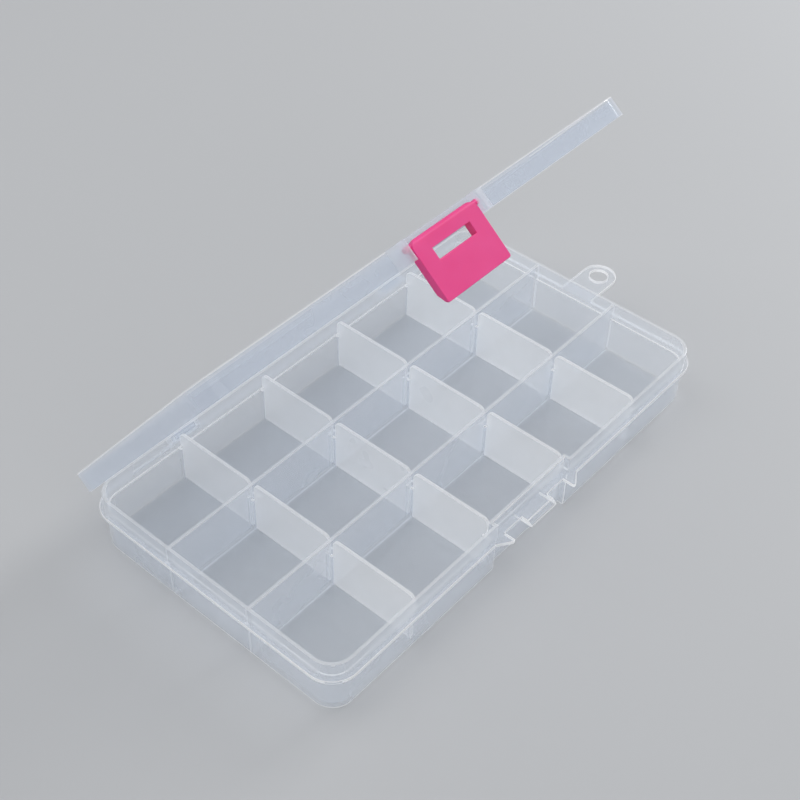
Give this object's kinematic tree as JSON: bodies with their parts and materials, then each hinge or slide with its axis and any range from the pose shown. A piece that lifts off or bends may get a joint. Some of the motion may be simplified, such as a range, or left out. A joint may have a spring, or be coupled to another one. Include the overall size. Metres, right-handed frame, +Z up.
{
  "type": "bead storage box",
  "caption": "Shallow clear compartment box for beads with a clip-hinged lid, a snap latch, a hanging eye and dividers that lift out.",
  "frame": {"origin": "centre of the tray's underside, between the four walls", "axes": "+Z up, +X along the tray towards the hanging eye, +Y towards the lid's hinge; the latch is at -Y"},
  "size_m": [0.1944, 0.1082, 0.1005],
  "materials": {
    "clear_plastic": "clear moulded polypropylene, glossy",
    "frosted_plastic": "frosted moulded polypropylene",
    "pink_plastic": "opaque hot pink moulded polypropylene, glossy"
  },
  "bodies": {
    "base": {"base_tray": "clear_plastic"},
    "lid": {"lid": "clear_plastic"},
    "latch": {"latch": "pink_plastic"},
    "divider_back_1": {"divider_back_1": "frosted_plastic"},
    "divider_back_2": {"divider_back_2": "frosted_plastic"},
    "divider_back_3": {"divider_back_3": "frosted_plastic"},
    "divider_back_4": {"divider_back_4": "frosted_plastic"},
    "divider_middle_1": {"divider_middle_1": "frosted_plastic"},
    "divider_middle_2": {"divider_middle_2": "frosted_plastic"},
    "divider_middle_3": {"divider_middle_3": "frosted_plastic"},
    "divider_middle_4": {"divider_middle_4": "frosted_plastic"},
    "divider_front_1": {"divider_front_1": "frosted_plastic"},
    "divider_front_2": {"divider_front_2": "frosted_plastic"},
    "divider_front_3": {"divider_front_3": "frosted_plastic"},
    "divider_front_4": {"divider_front_4": "frosted_plastic"}
  },
  "joints": [
    {"name": "lid_hinge", "type": "hinge", "parent": "base", "child": "lid", "pos_m": [0, 0.0515, 0.01455], "axis": [-1, 0, 0], "range_deg": [-51.5, 128.5]},
    {"name": "latch_pivot", "type": "hinge", "parent": "lid", "child": "latch", "pos_m": [0, -0.00829, 0.09694], "axis": [-1, 0, 0], "range_deg": [0, 101.5]},
    {"name": "divider_back_1_lift", "type": "slide", "parent": "base", "child": "divider_back_1", "axis": [0, 0, 1], "range_m": [0, 0.0105]},
    {"name": "divider_back_2_lift", "type": "slide", "parent": "base", "child": "divider_back_2", "axis": [0, 0, 1], "range_m": [0, 0.0105]},
    {"name": "divider_back_3_lift", "type": "slide", "parent": "base", "child": "divider_back_3", "axis": [0, 0, 1], "range_m": [0, 0.0105]},
    {"name": "divider_back_4_lift", "type": "slide", "parent": "base", "child": "divider_back_4", "axis": [0, 0, 1], "range_m": [0, 0.0105]},
    {"name": "divider_middle_1_lift", "type": "slide", "parent": "base", "child": "divider_middle_1", "axis": [0, 0, 1], "range_m": [0, 0.022]},
    {"name": "divider_middle_2_lift", "type": "slide", "parent": "base", "child": "divider_middle_2", "axis": [0, 0, 1], "range_m": [0, 0.022]},
    {"name": "divider_middle_3_lift", "type": "slide", "parent": "base", "child": "divider_middle_3", "axis": [0, 0, 1], "range_m": [0, 0.022]},
    {"name": "divider_middle_4_lift", "type": "slide", "parent": "base", "child": "divider_middle_4", "axis": [0, 0, 1], "range_m": [0, 0.022]},
    {"name": "divider_front_1_lift", "type": "slide", "parent": "base", "child": "divider_front_1", "axis": [0, 0, 1], "range_m": [0, 0.022]},
    {"name": "divider_front_2_lift", "type": "slide", "parent": "base", "child": "divider_front_2", "axis": [0, 0, 1], "range_m": [0, 0.022]},
    {"name": "divider_front_3_lift", "type": "slide", "parent": "base", "child": "divider_front_3", "axis": [0, 0, 1], "range_m": [0, 0.022]},
    {"name": "divider_front_4_lift", "type": "slide", "parent": "base", "child": "divider_front_4", "axis": [0, 0, 1], "range_m": [0, 0.022]}
  ]
}
